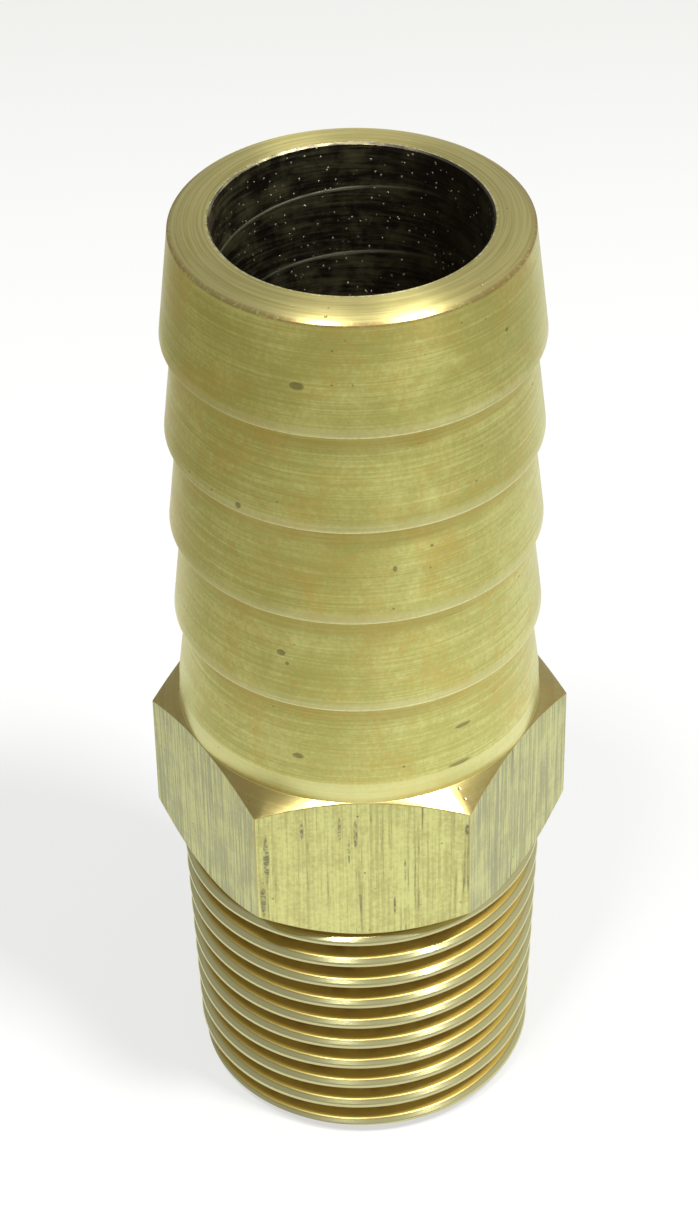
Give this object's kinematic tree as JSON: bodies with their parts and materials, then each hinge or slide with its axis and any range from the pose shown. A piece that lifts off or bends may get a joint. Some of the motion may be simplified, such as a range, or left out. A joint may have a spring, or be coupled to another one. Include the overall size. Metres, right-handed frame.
{
  "type": "hose barb tail",
  "caption": "Brass hose tail: male taper pipe thread at one end, hexagon in the middle, barbed tail for a push-on hose at the other.",
  "frame": {"origin": "middle of the threaded end face, on the axis", "axes": "+Z along the axis from the thread to the barbed tail; hexagon flats face -Y and +Y, its corners -X and +X"},
  "size_m": [0.0196, 0.0172, 0.0477],
  "materials": {
    "brass": "satin turned brass, drawn finish on the hexagon's flats"
  },
  "bodies": {
    "root": {"hose_tail": "brass"}
  },
  "joints": []
}
